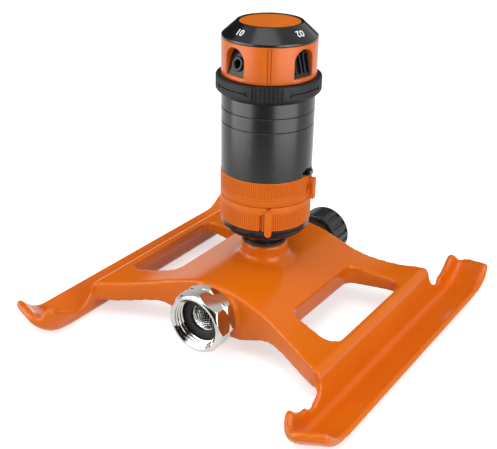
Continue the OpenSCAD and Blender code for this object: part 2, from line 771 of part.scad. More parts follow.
module gear_housing() color(black) difference() {
    bearing_z = housing_z + trip_pocket_h;
    plate_top_z = gear_plate_z + gear_plate_h;
    // Half the angle of the window that the trip lever works in
    lever_half = trip_swing + asin((trip_w / 2 + 0.4) / trip_pocket_r);
    rotate_extrude() polygon(concat(
        [[trip_pocket_r, housing_z], [housing_r, housing_z]],
        groove(groove_z[0]),
        groove(groove_z[1]),
        [[housing_r, shoulder_z], [top_neck_r, shoulder_z], [top_neck_r, neck_top_z],
         [neck_in_r, neck_top_z], [neck_in_r, shoulder_z],
         [housing_top_r, shoulder_z - shoulder_wall], [housing_top_r, plate_top_z],
         [housing_bore_r, plate_top_z], [housing_bore_r, bearing_z + bearing_h],
         [barrel_r + run_fit, bearing_z + bearing_h], [barrel_r + run_fit, bearing_z],
         [trip_pocket_r, bearing_z]]));
    rotate(trip_az - lever_half) translate([0, 0, housing_z - past])
        rotate_extrude(angle = 2 * lever_half) translate([trip_pocket_r - past / 2, 0])
            square([housing_r - trip_pocket_r + 2 * past, trip_h + past + 0.1]);
    // Slot that the collar's key works in
    rotate(key_az - key_half) translate([0, 0, key_z - key_r - 0.2])
        rotate_extrude(angle = 2 * key_half) translate([neck_in_r - past, 0])
            square([top_neck_wall + 2 * past, 2 * key_r + 0.4]);
}

// Roof of the neck, with the post that the turret turns on and the port that feeds it
module port_plate() color(dark) difference() {
    union() {
        translate([0, 0, neck_top_z]) cylinder(r = top_neck_r, h = plate_h);
        translate([0, 0, neck_top_z]) cylinder(r = post_r, h = post_top_z - neck_top_z);
    }
    translate([0, 0, neck_top_z - past])
        cylinder(r = screw_r + seat_fit, h = post_top_z - neck_top_z + 2 * past);
    rotate(port_az) translate([feed_circle_r, 0, 0]) {
        translate([0, 0, neck_top_z - past]) cylinder(r = feed_r, h = plate_h + 2 * past);
        translate([0, 0, seal_z]) cylinder(r = port_seal_r + seat_fit, h = port_seal_h + past);
    }
}

module port_seal() color(rubber) rotate(port_az) translate([feed_circle_r, 0, seal_z])
    ring(port_seal_r, feed_r, turret_z - seal_z - run_fit);

// Throttle disc, worked by the collar through a key in a slot of the neck
module flow_disc() color(acetal) difference() {
    slot_half = 20;
    translate([0, 0, key_z - disc_h / 2]) cylinder(r = disc_r, h = disc_h);
    translate([0, 0, key_z - disc_h]) {
        rotate(port_az - slot_half) rotate_extrude(angle = 2 * slot_half)
            translate([feed_circle_r - feed_r, 0]) square([2 * feed_r, 2 * disc_h]);
        cylinder(r = post_r, h = 2 * disc_h);
    }
    rotate(key_az) translate([post_r, 0, key_z]) rotate([0, 90, 0])
        cylinder(r = key_r + seat_fit, h = disc_r);
}

module collar_key() color(steel) {
    x0 = post_r + 3;
    rotate(key_az) translate([x0, 0, key_z]) rotate([0, 90, 0])
        cylinder(r = key_r, h = collar_r - 2.5 - x0);
}

module distance_collar() color(collar_black) difference() {
    cone_h = 2.9;
    edge = 0.6;
    bore_r = top_neck_r + run_fit;
    rotate_extrude() polygon([[bore_r, collar_z], [housing_r, collar_z],
        [collar_r, collar_z + cone_h], [collar_r, collar_z + collar_h - edge],
        [collar_r - edge, collar_z + collar_h], [bore_r, collar_z + collar_h]]);
    rotate(key_az) translate([top_neck_r - past, 0, key_z]) rotate([0, 90, 0])
        cylinder(r = key_r + seat_fit, h = collar_r - 2.4 - top_neck_r + past);
}

module arch(w, r0, r1, z0, z1) {
    translate([r0, 0, 0]) rotate([90, 0, 90]) linear_extrude(r1 - r0) {
        translate([-w / 2, z0]) square([w, z1 - z0 - w / 2]);
        translate([0, z1 - w / 2]) circle(d = w);
    }
}

module turret() color(ring_orange) difference() {
    window_z = turret_z + window_sill;
    translate([0, 0, turret_z]) cylinder(r = turret_r, h = turret_h);
    translate([0, 0, turret_z - past]) cylinder(r = post_r + run_fit, h = turret_h + 2 * past);
    translate([0, 0, post_top_z - face_gap]) cylinder(r = screw_recess_r, h = turret_h);
    for (a = window_az) rotate(a) {
        arch(nozzle_w, pocket_r, turret_r + past, window_z, dial_z - window_top);
        translate([feed_circle_r, 0, turret_z - past])
            cylinder(r = feed_r, h = window_sill + 2 * past);
    }
}

// Block that fills a nozzle pocket behind its sloping face
module nozzle_block(az) {
    w = nozzle_w - 2 * seat_fit;
    z0 = turret_z + window_sill + seat_fit;
    z1 = dial_z - window_top - seat_fit;
    far_r = turret_r + past;
    rotate(az) difference() {
        arch(w, pocket_r + seat_fit, turret_r - 1, z0, z1);
        // The face slopes back from the sill to the crown of the arch
        translate([0, w / 2 + past, 0]) rotate([90, 0, 0]) linear_extrude(w + 2 * past)
            polygon([[turret_r - 1.4, z0 - past], [far_r, z0 - past], [far_r, z1 + past],
                     [pocket_r + 2.4, z1 + past]]);
        translate([feed_circle_r, 0, z0 - past]) cylinder(r = feed_r, h = 6);
        children();
    }
}

module jet_nozzle() color(dark) nozzle_block(window_az[0])
    translate([feed_circle_r - 1, 0, nozzle_z]) rotate([0, 62, 0]) cylinder(r = 2.2, h = 14);

module fan_nozzle() color(dark) nozzle_block(window_az[1])
    for (y = [-2.6, 2.6])
        translate([feed_circle_r - 1, y - 0.8, turret_z + window_sill + 3]) cube([12, 1.6, 8]);

module shower_nozzle() color(dark) nozzle_block(window_az[2])
    for (y = [-3.2, 0, 3.2], k = [-2.6, 1, 4.6])
        translate([feed_circle_r - 2, y, nozzle_z + k]) rotate([0, 80, 0])
            cylinder(r = 0.6, h = 14, $fn = 24);

module flat_nozzle() color(dark) nozzle_block(window_az[3])
    translate([feed_circle_r - 1, -4, nozzle_z - 0.6]) cube([12, 8, 1.4]);

module turret_washer() color(steel) translate([0, 0, post_top_z])
    ring(screw_recess_r - 0.5, screw_r + seat_fit, turret_washer_h);

// Screw with a cross slot that holds the turret down on its post
module turret_screw() color(steel) difference() {
    head_z = post_top_z + turret_washer_h;
    slot = [2 * screw_head_r - 2, 1, 3];
    slot_z = head_z + screw_head_h - 1.1;
    union() {
        translate([0, 0, neck_top_z + 0.4])
            cylinder(r = screw_r, h = head_z + 0.1 - neck_top_z - 0.4);
        translate([0, 0, head_z]) cylinder(r = screw_head_r, h = screw_head_h);
    }
    for (a = [0, 90]) rotate(a) translate([-slot[0] / 2, -slot[1] / 2, slot_z]) cube(slot);
}

module cone_dial() color(dark) {
    top_z = dial_z + dial_h;
    seat_r = insert_r + 0.2;
    rotate_extrude() polygon([[screw_recess_r, dial_z], [turret_r, dial_z],
        [turret_r, dial_z + dial_band_h], [dial_top_r, top_z], [seat_r, top_z],
        [seat_r, insert_z], [screw_recess_r, insert_z]]);
}

module top_insert() color(ring_orange) translate([0, 0, insert_z]) difference() {
    rim_w = 2.2;
    face_sink = 0.5;
    hub_bore_r = 6;
    union() {
        cylinder(r = insert_r, h = insert_h);
        translate([0, 0, -insert_hub_h])
            cylinder(r = screw_recess_r - seat_fit, h = insert_hub_h + eps);
    }
    translate([0, 0, -insert_hub_h - past]) cylinder(r = hub_bore_r, h = insert_hub_h + past);
    translate([0, 0, insert_h - face_sink]) cylinder(r = insert_r - rim_w, h = 1);
}

sled_base();
inlet_tailpiece();
swivel_nut();
hose_washer();
filter_screen();
outlet_spigot();
end_cap();
cap_washer();
stator();
neck_seal();
lower_arc_ring();
upper_arc_ring();
central_shaft();
output_gear();
retaining_ring();
trip_lever();
gear_housing();
turbine();
first_gear();
axis_gear();
last_gear();
gear_pins();
gear_plate();
port_plate();
port_seal();
flow_disc();
collar_key();
distance_collar();
turret();
jet_nozzle();
fan_nozzle();
shower_nozzle();
flat_nozzle();
turret_washer();
turret_screw();
cone_dial();
top_insert();
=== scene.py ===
import math

import bpy
from mathutils import Matrix, Vector


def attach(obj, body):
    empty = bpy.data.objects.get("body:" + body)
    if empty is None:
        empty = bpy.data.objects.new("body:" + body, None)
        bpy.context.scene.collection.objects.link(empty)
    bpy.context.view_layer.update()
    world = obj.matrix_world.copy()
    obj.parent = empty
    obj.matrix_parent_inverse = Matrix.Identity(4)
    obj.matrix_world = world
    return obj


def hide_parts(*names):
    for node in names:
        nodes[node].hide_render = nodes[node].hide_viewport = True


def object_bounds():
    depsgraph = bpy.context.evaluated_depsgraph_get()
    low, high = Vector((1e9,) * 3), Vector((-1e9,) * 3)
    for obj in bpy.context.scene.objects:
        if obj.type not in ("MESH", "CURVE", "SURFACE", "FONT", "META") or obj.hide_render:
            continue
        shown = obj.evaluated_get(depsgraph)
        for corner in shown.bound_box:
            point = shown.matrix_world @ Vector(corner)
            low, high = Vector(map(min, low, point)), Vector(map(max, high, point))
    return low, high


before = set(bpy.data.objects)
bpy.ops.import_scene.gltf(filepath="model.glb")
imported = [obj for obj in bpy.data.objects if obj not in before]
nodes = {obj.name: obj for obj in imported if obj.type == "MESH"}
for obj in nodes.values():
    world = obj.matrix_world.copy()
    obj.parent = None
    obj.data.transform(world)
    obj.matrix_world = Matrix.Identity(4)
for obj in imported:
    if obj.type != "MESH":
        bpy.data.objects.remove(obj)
cad_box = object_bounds()
MM = 0.001


# ---------------------------------------------------------------- Camera
# A long lens half a metre away, looking down over the hose inlet, tipped a degree to one side.
TIPPED = math.radians(1.02)
eye = Vector((0.24714, -0.38429, 0.27961))
look = Vector((-0.50183, 0.74581, -0.43809)).normalized()
level = look.cross(Vector((0, 0, 1))).normalized()
right = level * math.cos(TIPPED) + level.cross(look) * math.sin(TIPPED)
bpy.ops.object.camera_add(location=eye)
camera = bpy.context.object
camera.rotation_euler = Matrix((right, right.cross(look), -look)).transposed().to_euler()
camera.data.sensor_width = 36
camera.data.lens = 63.4
camera.data.clip_start = 0.01
camera.data.clip_end = 50
bpy.context.scene.camera = camera


# ---------------------------------------------------------------- Sled casting
# The base is one thin aluminium casting, powder coated orange: a crowned deck with two windows,
# two runners with turned-up tips, and the water way and riser boss cast in. Every edge is round
# with the coat, so the cast shape is remeshed and eased all over.
def linear(hex_colour):
    """The linear RGBA of an sRGB hex colour."""
    parts = [int(hex_colour[i : i + 2], 16) / 255 for i in (1, 3, 5)]
    return [c / 12.92 if c <= 0.04045 else ((c + 0.055) / 1.055) ** 2.4 for c in parts] + [1]


def new_material(name):
    material = bpy.data.materials.new(name)
    material.use_nodes = True
    return material, material.node_tree.nodes["Principled BSDF"]


def add(material, kind, settings, links=()):
    """Adds a node, sets its properties or inputs, and links (input, node, output) into it."""
    made = material.node_tree.nodes.new(kind)
    for name, value in settings.items():
        if isinstance(name, int) or name in made.inputs:
            made.inputs[name].default_value = value
        else:
            setattr(made, name, value)
    for socket, source, output in links:
        material.node_tree.links.new(source.outputs[output], made.inputs[socket])
    return made


def link(material, source, output, target, socket):
    material.node_tree.links.new(source.outputs[output], target.inputs[socket])


def mottled(material, shader, dark, light, size_mm, roughness, gloss=0.5):
    """Colour and roughness that drift together, each between two near values, over size_mm."""
    shader.inputs["Specular IOR Level"].default_value = gloss
    place = add(material, "ShaderNodeTexCoord", {})
    noise = add(material, "ShaderNodeTexNoise", {"Scale": 1000 / size_mm, "Detail": 4},
                [("Vector", place, "Object")])
    ramp = add(material, "ShaderNodeValToRGB", {}, [("Fac", noise, "Fac")])
    ramp.color_ramp.elements[0].position = 0.3
    ramp.color_ramp.elements[1].position = 0.7
    ramp.color_ramp.elements[0].color = linear(dark)
    ramp.color_ramp.elements[1].color = linear(light)
    link(material, ramp, "Color", shader, "Base Color")
    spread = add(material, "ShaderNodeMapRange",
                 {"To Min": roughness[0], "To Max": roughness[1]}, [("Value", noise, "Fac")])
    link(material, spread, "Result", shader, "Roughness")
    return place


def grained(material, shader, place, size_mm, height_mm, strength=0.5):
    """Fine relief of the surface, size_mm across and height_mm deep."""
    noise = add(material, "ShaderNodeTexNoise", {"Scale": 1000 / size_mm, "Detail": 3},
                [("Vector", place, "Object")])
    bump = add(material, "ShaderNodeBump", {"Strength": strength, "Distance": height_mm * MM},
               [("Height", noise, "Fac")])
    link(material, bump, "Normal", shader, "Normal")


# Polyester powder coat over cast aluminium: broad soft highlights on a deep gloss, broken a
# little by orange peel, 2.5 mm across
powder_coat, shader = new_material("powder_coat_orange")
place = mottled(powder_coat, shader, "#D2630A", "#D86A10", 45, roughness=(0.13, 0.2), gloss=0.16)
grained(powder_coat, shader, place, 2.5, 0.02, 0.35)


def alone(obj):
    """Makes obj the only selected and active object."""
    bpy.ops.object.select_all(action="DESELECT")
    obj.select_set(True)
    bpy.context.view_layer.objects.active = obj
    return obj


def modify(obj, kind, **settings):
    alone(obj)
    modifier = obj.modifiers.new(kind.lower(), kind)
    for name, value in settings.items():
        setattr(modifier, name, value)
    bpy.ops.object.modifier_apply(modifier=modifier.name)
    return obj


def done(obj, material, body, *stands_for, sharp=35):
    """Smooths and paints a finished piece, hangs it on its body, and hides what it stands for."""
    alone(obj)
    bpy.ops.object.transform_apply(location=True, rotation=True, scale=True)
    if sharp:
        bpy.ops.object.shade_smooth_by_angle(angle=math.radians(sharp))
    else:
        bpy.ops.object.shade_smooth()
    obj.data.materials.clear()
    obj.data.materials.append(material)
    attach(obj, body)
    if stands_for:
        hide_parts(*stands_for)
    return obj


COAT_VOXEL, TIP_START, TIP_RUN, TIP_SWELL = 1.05, 84, 10, 1.3
sled = bpy.data.objects.new("sled", nodes["sled_base"].data.copy())
bpy.context.scene.collection.objects.link(sled)
alone(sled)
bpy.ops.object.mode_set(mode="EDIT")
bpy.ops.mesh.select_all(action="SELECT")
bpy.ops.mesh.remove_doubles(threshold=0.005 * MM)
bpy.ops.object.mode_set(mode="OBJECT")
modify(sled, "REMESH", mode="VOXEL", voxel_size=COAT_VOXEL * MM)
modify(sled, "SMOOTH", factor=0.5, iterations=9)
# The turned-up tips are rounded further, like the bowl of a spoon
tips = sled.vertex_groups.new(name="tips")
for v in sled.data.vertices:
    tips.add([v.index], min(max((abs(v.co.y) / MM - TIP_START) / TIP_RUN, 0), 1), "REPLACE")
modify(sled, "SMOOTH", factor=0.5, iterations=26, vertex_group="tips")
modify(sled, "DISPLACE", strength=TIP_SWELL * MM, mid_level=0, vertex_group="tips")
modify(sled, "SMOOTH", factor=0.5, iterations=9, vertex_group="tips")
# The swell may not make the casting larger than it is
for v in sled.data.vertices:
    for k in range(3):
        v.co[k] = min(max(v.co[k], cad_box[0][k]), cad_box[1][k])
done(sled, powder_coat, "base", "sled_base", sharp=None)


# ---------------------------------------------------------------- Hose inlet
# The female inlet is a chromed brass nut that swivels on a tailpiece, with a rubber washer and a
# woven screen inside. It is turned from octagonal bar: each end and the waist are chamfered, which
# leaves pointed flats between bright cones. Its thread is turned as three plain rings.
WATER_Z = 23.9  # height of the water way
POLE = 0.0004  # a radius in mm so small that its circle merges into one point


def turned(name, outline, steps=144):
    """An outline of (radius, height) in mm, turned about Z.

    It closes on itself, unless it starts and ends at the pole.
    """
    bpy.ops.object.select_all(action="DESELECT")
    radius, height = outline[0]
    bpy.ops.mesh.primitive_circle_add(vertices=steps, radius=radius * MM, location=(0, 0, 0))
    obj = bpy.context.object
    obj.name = name
    bpy.ops.object.mode_set(mode="EDIT")
    bpy.ops.mesh.select_all(action="SELECT")
    bpy.ops.transform.translate(value=(0, 0, height * MM))
    for r, z in outline[1:] + ([] if radius == POLE else outline[:1]):
        bpy.ops.mesh.extrude_region_move()
        bpy.ops.transform.translate(value=(0, 0, (z - height) * MM))
        bpy.ops.transform.resize(value=(r / radius, r / radius, 1), center_override=(0, 0, 0))
        radius, height = r, z
    bpy.ops.mesh.select_all(action="SELECT")
    bpy.ops.mesh.remove_doubles(threshold=0.001 * MM)
    bpy.ops.mesh.normals_make_consistent(inside=False)
    bpy.ops.object.mode_set(mode="OBJECT")
    return obj


def placed(obj, turn=(0, 0, 0), at=(0, 0, 0)):
    """Turns obj about the origin by degrees, moves it by mm, and applies both."""
    alone(obj)
    obj.rotation_euler = [math.radians(a) for a in turn]
    obj.location = [c * MM for c in at]
    bpy.ops.object.transform_apply(location=True, rotation=True, scale=True)
    return obj


def cut(obj, *tools, how="DIFFERENCE"):
    """Cuts obj with each tool, or joins or crosses them, and removes the tools."""
    for tool in tools:
        modify(obj, "BOOLEAN", object=tool, operation=how, solver="EXACT")
        bpy.data.objects.remove(tool)
    return obj


def eased(obj, width, segments=2, angle=30):
    """Rounds every edge sharper than angle by width in mm."""
    return modify(obj, "BEVEL", width=width * MM, segments=segments, limit_method="ANGLE",
                  angle_limit=math.radians(angle), use_clamp_overlap=True)


BAR_R, PITCH, ROOT_R, CREST_R = 18, 2.2, 13.55, 12.75
thread = [p for k in (2, 1, 0)
          for p in [(ROOT_R, -65.3 + PITCH * k), (CREST_R, -65.9 + PITCH * k),
                    (CREST_R, -66.3 + PITCH * k), (ROOT_R, -66.9 + PITCH * k)]]
nut = turned("swivel_nut_visual",
             [(14.7, -68.4), (15.9, -68.4), (16.5, -67.9), (18.5, -65.0), (18.5, -61.8),
              (16.8, -58.1), (18.1, -56.4), (18.1, -54.8), (15.7, -52), (9.75, -52),
              (9.75, -55.4), (13.9, -55.4), (13.9, -60.6)] + thread + [(13.6, -67.4)])
bpy.ops.object.select_all(action="DESELECT")
bpy.ops.mesh.primitive_cylinder_add(vertices=8, radius=BAR_R * MM, depth=20 * MM)
bar = placed(bpy.context.object, turn=(0, 0, 7), at=(0, 0, -60))
cut(nut, bar, how="INTERSECT")
# Chrome plate on polished brass: a mirror that takes its lights and darks from the room
chrome, shader = new_material("polished_chrome")
mottled(chrome, shader, "#A9A6A2", "#C2BFBB", 9, roughness=(0.05, 0.12))
shader.inputs["Metallic"].default_value = 1
done(placed(nut, turn=(-90, 0, 0), at=(0, 0, WATER_Z)), chrome, "nut", "swivel_nut", sharp=16)

# Black EPDM, moulded: a soft dull black with a skin that scatters what light it gets
rubber, shader = new_material("moulded_rubber")
place = mottled(rubber, shader, "#141312", "#1D1B1A", 6, roughness=(0.55, 0.7), gloss=0.3)
grained(rubber, shader, place, 0.5, 0.03)
washer = turned("inlet_washer", [(7.7, -60.9), (13.25, -60.9), (13.25, -58.95), (7.7, -58.95)])
eased(washer, 0.5, 3)
done(placed(washer, turn=(-90, 0, 0), at=(0, 0, WATER_Z)), rubber, "nut", "hose_washer")

# The screen is woven from stainless wire and domed in a press. Its wires are 0.42 mm thick and
# 1.3 mm apart, coarser than real ones, so that the weave shows
SCREEN_R, DOME_R, DOME_H, MESH_PITCH, WIRE, WEAVE = 9.4, 7.6, 4.4, 1.3, 0.42, 0.1
bpy.ops.object.select_all(action="DESELECT")
across = round(2 * DOME_R / MESH_PITCH)
bpy.ops.mesh.primitive_grid_add(x_subdivisions=across, y_subdivisions=across, size=2 * DOME_R * MM)
screen = bpy.context.object
screen.name = "woven_screen"
bpy.ops.object.mode_set(mode="EDIT")
bpy.ops.mesh.select_all(action="DESELECT")
bpy.ops.object.mode_set(mode="OBJECT")
ball = (DOME_R**2 + DOME_H**2) / (2 * DOME_H)
for v in screen.data.vertices:
    radius = v.co.xy.length / MM
    v.select = radius > DOME_R
    rise = math.sqrt(max(ball**2 - radius**2, 0)) - (ball - DOME_H)
    odd = (round(v.co.x / MM / MESH_PITCH) + round(v.co.y / MM / MESH_PITCH)) % 2
    v.co.z = (rise + (WEAVE if odd else -WEAVE)) * MM
bpy.ops.object.mode_set(mode="EDIT")
bpy.ops.mesh.delete(type="VERT")
bpy.ops.object.mode_set(mode="OBJECT")
modify(screen, "WIREFRAME", thickness=WIRE * MM, use_even_offset=False)
rim = eased(turned("screen_rim", [(7.2, 0), (SCREEN_R, 0), (SCREEN_R, 0.7), (7.2, 0.7)]), 0.2)
alone(screen)
rim.select_set(True)
bpy.ops.object.join()
# Drawn stainless steel: greyer and softer in its shine than the chrome around it
steel, shader = new_material("stainless_steel")
mottled(steel, shader, "#B4B6B5", "#D8D9D7", 3, roughness=(0.22, 0.38))
shader.inputs["Metallic"].default_value = 1
placed(screen, turn=(90, 0, 0), at=(0, -58.2, WATER_Z))
done(screen, steel, "base", "filter_screen", sharp=50)


# ---------------------------------------------------------------- Hose outlet
# The threaded outlet behind is closed by a moulded nylon cap with coarse grip flutes, so that
# a second sprinkler can be fed from this one.
def vertices_where(obj, test):
    """Selects the vertices that pass test(radius, angle, height), in mm and degrees.

    It leaves obj in edit mode.
    """
    alone(obj)
    bpy.ops.object.mode_set(mode="EDIT")
    bpy.ops.mesh.select_mode(type="VERT")
    bpy.ops.mesh.select_all(action="DESELECT")
    bpy.ops.object.mode_set(mode="OBJECT")
    for v in obj.data.vertices:
        angle = math.degrees(math.atan2(v.co.y, v.co.x)) % 360
        v.select = test(v.co.xy.length / MM, angle, v.co.z / MM)
    bpy.ops.object.mode_set(mode="EDIT")


def sunk(obj, radius, depth, test):
    """Draws the vertices that pass test towards the axis, by depth at that radius."""
    vertices_where(obj, test)
    share = 1 - depth / radius
    bpy.ops.transform.resize(value=(share, share, 1), center_override=(0, 0, 0))
    bpy.ops.object.mode_set(mode="OBJECT")
    return obj


FLUTES, PER_FLUTE, CAP_R = 18, 12, 16.2
cap_steps = FLUTES * PER_FLUTE
cap = turned("outlet_cap",
             [(POLE, 73.5), (13.5, 73.5), (13.5, 59), (15.5, 59), (15.9, 59.3), (CAP_R, 60.2),
              (CAP_R, 61.0), (CAP_R, 61.6), (CAP_R, 74.4), (CAP_R, 74.6), (16.0, 75.4),
              (15.3, 76.1), (14.2, 76.45), (13.6, 76.2), (13.2, 76.05), (POLE, 76.05)], cap_steps)
sunk(cap, CAP_R, 0.95, lambda r, a, z: r > 16.1 and 61.5 < z < 74.5
     and round(a / 360 * cap_steps) % PER_FLUTE in (0, 1, 2, 3))
# Nylon, moulded in a lightly eroded tool: a cool black with a wide soft sheen
nylon, shader = new_material("moulded_black_nylon")
place = mottled(nylon, shader, "#17191C", "#202226", 8, roughness=(0.3, 0.42), gloss=0.35)
grained(nylon, shader, place, 0.6, 0.02, 0.4)
done(placed(cap, turn=(-90, 0, 0), at=(0, 0, WATER_Z)), nylon, "cap", "end_cap", sharp=25)


# ---------------------------------------------------------------- Arc rings
# Two orange ABS rings set the ends of the arc. They turn stiffly on the barrel, so each has a
# band of fine moulded ribs for grip and a pointer: a round-ended bar below, a thumb tab above.
# ABS from a fine-grained tool: an even satin orange with no sharp highlights
abs_orange, shader = new_material("satin_abs_orange")
place = mottled(abs_orange, shader, "#CE6414", "#D46C1C", 20, roughness=(0.36, 0.46), gloss=0.1)
grained(abs_orange, shader, place, 0.45, 0.02, 0.4)
RIBS, PER_RIB, RING_R, BARREL_BORE_R = 130, 4, 25.8, 21.45
ring_steps = RIBS * PER_RIB
LOWER_Z, UPPER_Z, RING_H, LOWER_AZ, UPPER_AZ = 65.2, 79.5, 14.1, -53.7, 11


def arc_ring(name, z0, rib_low, rib_high, line_z):
    """Ring with ribs from rib_low to rib_high and a fine line at line_z."""
    top = z0 + RING_H
    loops = [(BARREL_BORE_R, z0), (25.35, z0), (25.7, z0 + 0.15), (RING_R, z0 + 0.4)]
    marks = [(RING_R, rib_low - 0.15), (RING_R, rib_low), (RING_R, rib_high),
             (RING_R, rib_high + 0.15), (RING_R, line_z), (25.5, line_z + 0.15),
             (25.5, line_z + 0.3), (RING_R, line_z + 0.45)]
    loops += sorted(marks, key=lambda p: p[1])
    loops += [(RING_R, top - 0.4), (25.7, top - 0.15), (25.35, top), (BARREL_BORE_R, top)]
    ring = turned(name, loops, ring_steps)
    return sunk(ring, RING_R, 0.42,
                lambda r, a, z: r > 25.75 and rib_low - 0.05 < z < rib_high + 0.05
                and round(a / 360 * ring_steps) % PER_RIB == 0)


def block(name, size, at, turn=0):
    """A box of size in mm about the point at, both before it is turned about the column."""
    bpy.ops.object.select_all(action="DESELECT")
    bpy.ops.mesh.primitive_cube_add(size=1)
    made = bpy.context.object
    made.name = name
    made.scale = [s * MM for s in size]
    return placed(placed(made, at=at), turn=(0, 0, turn))


def arch(name, width, depth, low, spring, at_x):
    """A prism along X, flat at height low and round above height spring."""
    bpy.ops.object.select_all(action="DESELECT")
    bpy.ops.mesh.primitive_cylinder_add(vertices=64, radius=width / 2 * MM, depth=depth * MM)
    made = placed(bpy.context.object, turn=(0, 90, 0))
    made.name = name
    vertices_where(made, lambda r, a, z: z < -0.001)
    bpy.ops.transform.resize(value=(1, 1, 0), center_override=(0, 0, 0))
    bpy.ops.transform.translate(value=(0, 0, (low - spring) * MM))
    bpy.ops.object.mode_set(mode="OBJECT")
    return placed(made, at=(at_x, 0, spring))


lower_ring = arc_ring("arc_ring_lower", LOWER_Z, 66.0, 74.1, 74.9)
cut(lower_ring,
    block("slot", (3, 1.3, 9.8), (25.8, 0, 69.9), LOWER_AZ - 9),
    block("nick", (3, 2.6, 1.6), (26, 0, 79.0), LOWER_AZ))
pointer = placed(arch("pointer", 3.9, 2.9, -77.2, -64.4, 26.15), turn=(180, 0, 0))
placed(eased(pointer, 0.7, 4, 40), turn=(0, 0, LOWER_AZ))
alone(lower_ring)
pointer.select_set(True)
bpy.ops.object.join()
done(lower_ring, abs_orange, "lower_ring", "lower_arc_ring", sharp=28)

upper_ring = arc_ring("arc_ring_upper", UPPER_Z, 84.6, 93.0, 83.3)
tab = eased(block("tab", (4.6, 3.8, 12.1), (27.0, 0, 85.65)), 0.5, 3)
placed(tab, turn=(0, 0, UPPER_AZ))
# The thumb's hollow is sunk in the tab's side and runs out into the ring
for part in (tab, upper_ring):
    bpy.ops.mesh.primitive_uv_sphere_add(segments=32, ring_count=20, radius=MM)
    scoop = bpy.context.object
    scoop.scale = (1.9, 2.6, 5.4)
    placed(placed(scoop), at=(26.5, -3.2, 85.6))
    cut(part, placed(scoop, turn=(0, 0, UPPER_AZ)))
alone(upper_ring)
tab.select_set(True)
bpy.ops.object.join()
done(upper_ring, abs_orange, "upper_ring", "upper_arc_ring", sharp=28)


# ---------------------------------------------------------------- Neck and gear housing
# The fixed neck and barrel are glossy black acetal. The housing that turns on them is
# glass-filled nylon, moulded satin, with two parting grooves.
# Acetal, moulded glossy: near black and slightly blue, with narrow bright edges
acetal_black, shader = new_material("glossy_black_acetal")
mottled(acetal_black, shader, "#0A0D15", "#10141D", 10, roughness=(0.16, 0.26), gloss=0.25)
# Glass-filled nylon: smooth enough to hold long bands of light, with a grain that softens them
satin_nylon, shader = new_material("satin_glass_nylon")
place = mottled(satin_nylon, shader, "#141416", "#1A1A1C", 14, roughness=(0.2, 0.28), gloss=0.3)
grained(satin_nylon, shader, place, 0.7, 0.015, 0.4)


# ---------------------------------------------------------------- Distance collar
# The ring that throttles the jet is moulded matte. It has four groups of grip flutes, with a
# double arrow sunk between each two.
COLLAR_R, GROUP_AZ, COLLAR_STEPS, PER_GRIP = 28.6, -57, 320, 4
collar = turned("distance_collar_visual",
                [(22.1, 137.5), (25.6, 137.5), (25.9, 137.65), (28.2, 139.8), (28.5, 140.1),
                 (COLLAR_R, 140.5), (COLLAR_R, 146.9), (28.45, 147.4), (28.0, 147.7),
                 (22.1, 147.7)], COLLAR_STEPS)


def in_group(angle, half):
    return abs((angle - GROUP_AZ + 45) % 90 - 45) < half


sunk(collar, COLLAR_R, 0.75, lambda r, a, z: r > 25.7 and in_group(a, 17.5)
     and round((a - GROUP_AZ + 360.5) / 360 * COLLAR_STEPS) % PER_GRIP in (0, 1))
ARROW_Z = 143.6
shaft = block("arrow", (20, 2, 0.7), (0, 0, ARROW_Z))
alone(shaft)
bpy.ops.object.mode_set(mode="EDIT")
bpy.ops.mesh.select_all(action="SELECT")
bpy.ops.mesh.subdivide(number_cuts=15)
bpy.ops.object.mode_set(mode="OBJECT")
for side in (1, -1):
    bpy.ops.object.select_all(action="DESELECT")
    bpy.ops.mesh.primitive_cylinder_add(vertices=3, radius=1.9 * MM, depth=2 * MM)
    head = placed(bpy.context.object, turn=(90, 0, 0))
    head = placed(head, turn=(0, -90 * side, 0), at=(side * 10.2, 0, ARROW_Z))
    cut(shaft, head, how="UNION")
modify(shaft, "TRIANGULATE")
# The arrow is made flat, and then bent round the collar with its outer face just proud of it
for v in shaft.data.vertices:
    angle = v.co.x / (COLLAR_R * MM)
    out = (COLLAR_R + 0.15) * MM - v.co.y
    v.co.x, v.co.y = out * math.cos(angle), out * math.sin(angle)
for k in range(4):
    arrow = bpy.data.objects.new("arrow_tool", shaft.data.copy())
    bpy.context.scene.collection.objects.link(arrow)
    cut(collar, placed(arrow, turn=(0, 0, GROUP_AZ + 45 + 90 * k)))
bpy.data.objects.remove(shaft)
# The same nylon from a sandblasted tool: a dry dark grey that shows its flutes by shade alone
matte_nylon, shader = new_material("matte_glass_nylon")
place = mottled(matte_nylon, shader, "#191A1C", "#202224", 9, roughness=(0.5, 0.62), gloss=0.14)
grained(matte_nylon, shader, place, 0.4, 0.04, 0.6)
done(collar, matte_nylon, "collar", "distance_collar", sharp=28)


# ---------------------------------------------------------------- Nozzle turret
# The orange turret turns to bring one of four nozzles to the port. Each nozzle is a black
# acetal block pressed into an arched window, with its face sloped back. A pair of fine lines
# runs down the turret between each two windows.
TURRET_R, WINDOW_AZ, SILL_Z, SPRING_Z = 25.7, (-102, -12, 78, 168), 150.3, 158.85
turret = turned("turret_visual",
                [(5.05, 147.9), (25.3, 147.9), (25.6, 148.05), (TURRET_R, 148.4),
                 (TURRET_R, 167.2), (25.5, 167.45), (25.2, 167.5), (8.2, 167.5), (8.2, 158.6),
                 (5.05, 158.6)], 180)
for azimuth in WINDOW_AZ:
    window = arch("window", 13.3, 14, SILL_Z, SPRING_Z, 20.5)
    cut(turret, placed(window, turn=(0, 0, azimuth)))
eased(turret, 0.4, 3, 40)
for azimuth in WINDOW_AZ:
    for y in (-0.85, 0.85):
        cut(turret, block("line", (1.4, 0.5, 18.4), (25.7, y, 157.8), azimuth + 45))
